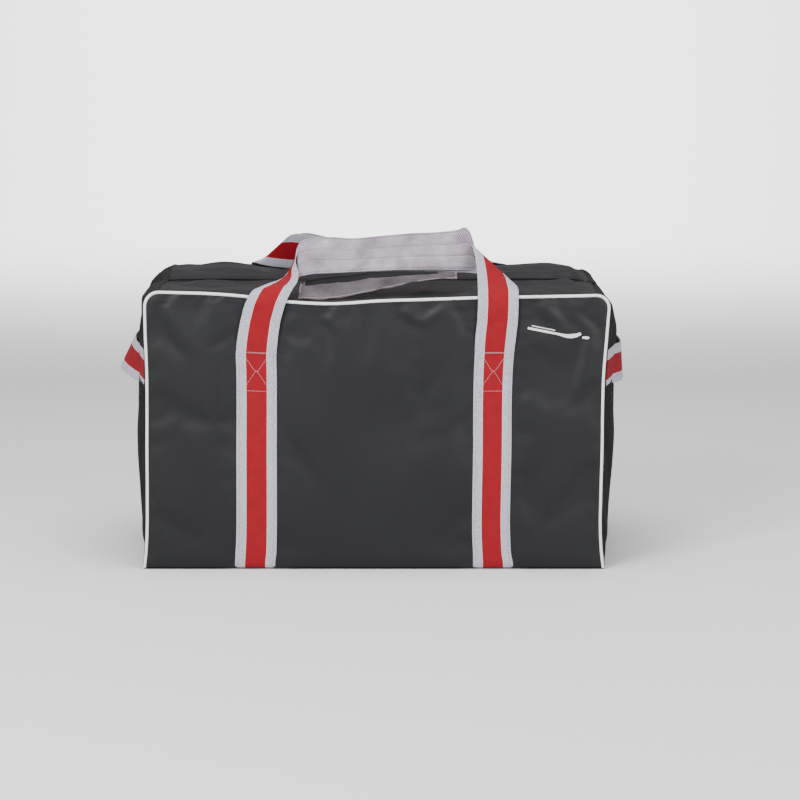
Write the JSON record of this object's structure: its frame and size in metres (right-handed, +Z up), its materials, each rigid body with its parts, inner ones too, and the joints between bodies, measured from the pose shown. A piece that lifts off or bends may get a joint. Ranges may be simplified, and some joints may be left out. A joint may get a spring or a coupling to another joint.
{
  "type": "hockey equipment bag",
  "caption": "Box-shaped soft carry bag for ice hockey kit, with piped seams, a zipped top, striped webbing carry handles with a wrap-round grip, and webbing end handles.",
  "frame": {"origin": "centre of the footprint, at the underside of the base webbing the bag stands on", "axes": "+X along the bag towards its right end, -Y towards the front face, +Z up"},
  "size_m": [0.8536, 0.4348, 0.5274],
  "materials": {
    "shell": "charcoal coated fabric, satin",
    "piping": "white vinyl",
    "binding": "black woven tape",
    "webbing": "grey webbing with a red stripe",
    "lining": "grey twill",
    "foam": "closed-cell foam",
    "hook_tape": "black hook tape",
    "thread": "white thread",
    "coil": "black nylon coil",
    "metal": "black enamelled metal"
  },
  "bodies": {
    "bag": {"front_panel": "shell", "back_panel": "shell", "base_panel": "shell", "left_end_panel": "shell", "right_end_panel": "shell", "front_piping": "piping", "back_piping": "piping", "front_seam_binding": "binding", "back_seam_binding": "binding", "left_vent_eyelets": "metal", "right_vent_eyelets": "metal", "printed_mark": "piping", "front_left_strap": "webbing", "front_right_strap": "webbing", "back_left_strap": "webbing", "back_right_strap": "webbing", "base_left_strap": "webbing", "base_right_strap": "webbing", "front_box_stitching": "thread", "back_box_stitching": "thread", "left_zip_end_tab": "binding", "right_zip_end_tab": "binding", "left_end_handle_anchors": "webbing", "right_end_handle_anchors": "webbing"},
    "front_top": {"front_top_flap": "shell", "front_zip_tape": "binding", "front_zip_coil": "coil", "front_zip_stops": "metal"},
    "back_top": {"back_top_flap": "shell", "back_zip_tape": "binding", "back_zip_coil": "coil", "back_zip_stops": "metal"},
    "left_zip_slider": {"left_slider": "metal", "left_pull_pin": "metal"},
    "right_zip_slider": {"right_slider": "metal", "right_pull_pin": "metal"},
    "left_zip_pull": {"left_pull_tab": "metal"},
    "right_zip_pull": {"right_pull_tab": "metal"},
    "front_handle": {"front_left_leg": "webbing", "front_right_leg": "webbing"},
    "back_handle": {"back_left_leg": "webbing", "back_right_leg": "webbing"},
    "front_grip": {"front_grip_left_leg": "webbing", "front_grip_right_leg": "webbing", "front_handle_span": "webbing", "front_grip_pad": "foam", "front_grip_cover": "lining"},
    "back_grip": {"back_grip_left_leg": "webbing", "back_grip_right_leg": "webbing", "back_handle_span": "webbing", "back_grip_pad": "foam", "back_grip_cover": "lining"},
    "grip_wrap": {"wrap_flap": "lining", "wrap_hook_tape": "hook_tape"},
    "left_end_handle": {"left_end_handle_loop": "webbing"},
    "right_end_handle": {"right_end_handle_loop": "webbing"}
  },
  "joints": [
    {"name": "front_top_fold", "type": "hinge", "parent": "bag", "child": "front_top", "pos_m": [0, -0.2076, 0.432], "axis": [-1, 0, 0], "range_deg": [0, 78]},
    {"name": "back_top_fold", "type": "hinge", "parent": "bag", "child": "back_top", "pos_m": [0, 0.2076, 0.432], "axis": [1, 0, 0], "range_deg": [0, 78]},
    {"name": "left_slider_run", "type": "slide", "parent": "bag", "child": "left_zip_slider", "axis": [-1, 0, 0], "range_m": [0, 0.3102]},
    {"name": "right_slider_run", "type": "slide", "parent": "bag", "child": "right_zip_slider", "axis": [1, 0, 0], "range_m": [0, 0.3102]},
    {"name": "left_pull_flip", "type": "hinge", "parent": "left_zip_slider", "child": "left_zip_pull", "pos_m": [-0.02, 0, 0.4456], "axis": [0, 1, 0], "range_deg": [0, 125]},
    {"name": "right_pull_flip", "type": "hinge", "parent": "right_zip_slider", "child": "right_zip_pull", "pos_m": [0.02, 0, 0.4456], "axis": [0, -1, 0], "range_deg": [0, 125]},
    {"name": "front_handle_drop", "type": "hinge", "parent": "bag", "child": "front_handle", "pos_m": [0, -0.2176, 0.352], "axis": [1, 0, 0], "range_deg": [0, 168]},
    {"name": "back_handle_drop", "type": "hinge", "parent": "bag", "child": "back_handle", "pos_m": [0, 0.2176, 0.352], "axis": [-1, 0, 0], "range_deg": [0, 168]},
    {"name": "front_grip_lift", "type": "hinge", "parent": "front_handle", "child": "front_grip", "pos_m": [0, -0.2176, 0.446], "axis": [1, 0, 0], "range_deg": [0, 40]},
    {"name": "back_grip_lift", "type": "hinge", "parent": "back_handle", "child": "back_grip", "pos_m": [0, 0.2176, 0.446], "axis": [-1, 0, 0], "range_deg": [0, 40]},
    {"name": "wrap_close", "type": "hinge", "parent": "front_grip", "child": "grip_wrap", "pos_m": [0, -0.1355, 0.4606], "axis": [-1, 0, 0], "range_deg": [0, 75]},
    {"name": "left_end_handle_lift", "type": "hinge", "parent": "bag", "child": "left_end_handle", "pos_m": [-0.3895, 0, 0.362], "axis": [0, 1, 0], "range_deg": [0, 80]},
    {"name": "right_end_handle_lift", "type": "hinge", "parent": "bag", "child": "right_end_handle", "pos_m": [0.3895, 0, 0.362], "axis": [0, -1, 0], "range_deg": [0, 80]}
  ],
  "couplings": [
    {"joint": "back_top_fold", "follows": "front_top_fold", "ratio": 1},
    {"joint": "left_slider_run", "follows": "front_top_fold", "m_per_rad": 0.22771},
    {"joint": "right_slider_run", "follows": "front_top_fold", "m_per_rad": 0.22771}
  ]
}
